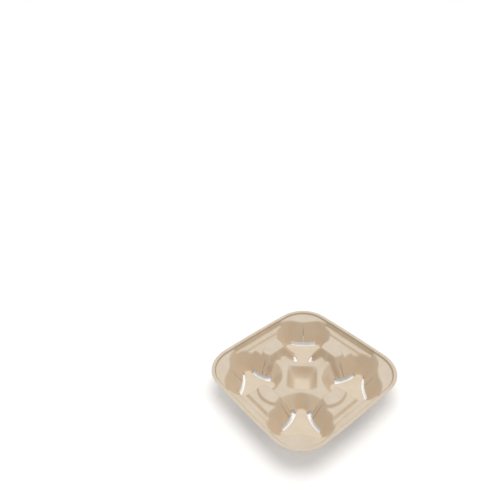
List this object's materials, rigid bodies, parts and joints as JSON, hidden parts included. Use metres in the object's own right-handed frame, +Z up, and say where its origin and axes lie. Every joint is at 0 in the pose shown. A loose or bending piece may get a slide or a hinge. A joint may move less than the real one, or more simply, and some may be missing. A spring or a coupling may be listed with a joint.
{
  "type": "moulded fibre cup carrier",
  "caption": "Square moulded fibre tray with a flat rim, flexible lobed pockets that grip drinking cups of different sizes, and a small square well in the middle.",
  "frame": {"origin": "on the standing plane, under the middle of the tray", "axes": "+Z up, perpendicular to the rim; X and Y along the sides of the tray"},
  "size_m": [0.2178, 0.2178, 0.0392],
  "materials": {
    "moulded_fibre": "matt, slightly rough pressed pulp"
  },
  "bodies": {
    "root": {"carrier_tray": "moulded_fibre"}
  },
  "joints": []
}
